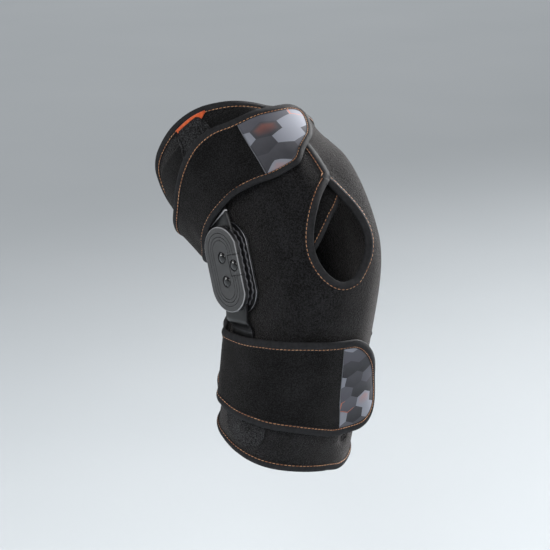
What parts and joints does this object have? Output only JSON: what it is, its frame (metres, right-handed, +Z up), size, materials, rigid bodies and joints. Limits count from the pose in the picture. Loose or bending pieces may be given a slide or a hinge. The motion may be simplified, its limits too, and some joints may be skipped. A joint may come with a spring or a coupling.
{
  "type": "hinged knee brace",
  "caption": "Wrap-front knee brace for a bent right leg: cloth sleeve with kneecap window, hook-and-loop thigh and calf straps, and rigid side hinges with flat arms.",
  "frame": {"origin": "centre of the knee inside the hollow, on the bent centre line of the leg", "axes": "+Z up, -Y to the front of the knee, -X to the outer side of a right leg"},
  "size_m": [0.1559, 0.1845, 0.3199],
  "materials": {
    "velour": "matte black brushed loop cloth on foam",
    "tape": "smooth charcoal knitted binding tape",
    "print": "satin grey printed hexagon film on cloth",
    "bright": "bright orange webbing",
    "plastic": "fine-grained charcoal moulding",
    "coated": "semi-gloss black powder coat on aluminium",
    "gloss": "gloss black rivet"
  },
  "bodies": {
    "root": {"sleeve": "velour", "sleeve_top_binding": "tape", "sleeve_bottom_binding": "tape", "opening_binding": "tape", "tongue": "velour", "tongue_binding": "tape", "thigh_panel": "velour", "thigh_strap": "velour", "thigh_strap_binding": "tape", "thigh_strap_patch": "print", "calf_strap": "velour", "calf_strap_binding": "tape", "calf_strap_patch": "print", "upper_pocket_tab": "velour", "lower_pocket_tab": "velour", "upper_pull": "bright", "lateral_hinge_cover": "plastic", "lateral_hinge_insert": "plastic", "lateral_hinge_core_outer": "plastic", "lateral_hinge_core_inner": "plastic", "lateral_hinge_plate": "coated", "lateral_upper_arm": "coated", "lateral_lower_arm": "coated", "lateral_rivet_upper": "gloss", "lateral_rivet_lower": "gloss", "lateral_rivet_stop": "gloss", "medial_hinge_cover": "plastic", "medial_hinge_insert": "plastic", "medial_hinge_core_outer": "plastic", "medial_hinge_core_inner": "plastic", "medial_hinge_plate": "coated", "medial_upper_arm": "coated", "medial_lower_arm": "coated", "medial_rivet_upper": "gloss", "medial_rivet_lower": "gloss", "medial_rivet_stop": "gloss"}
  },
  "joints": []
}
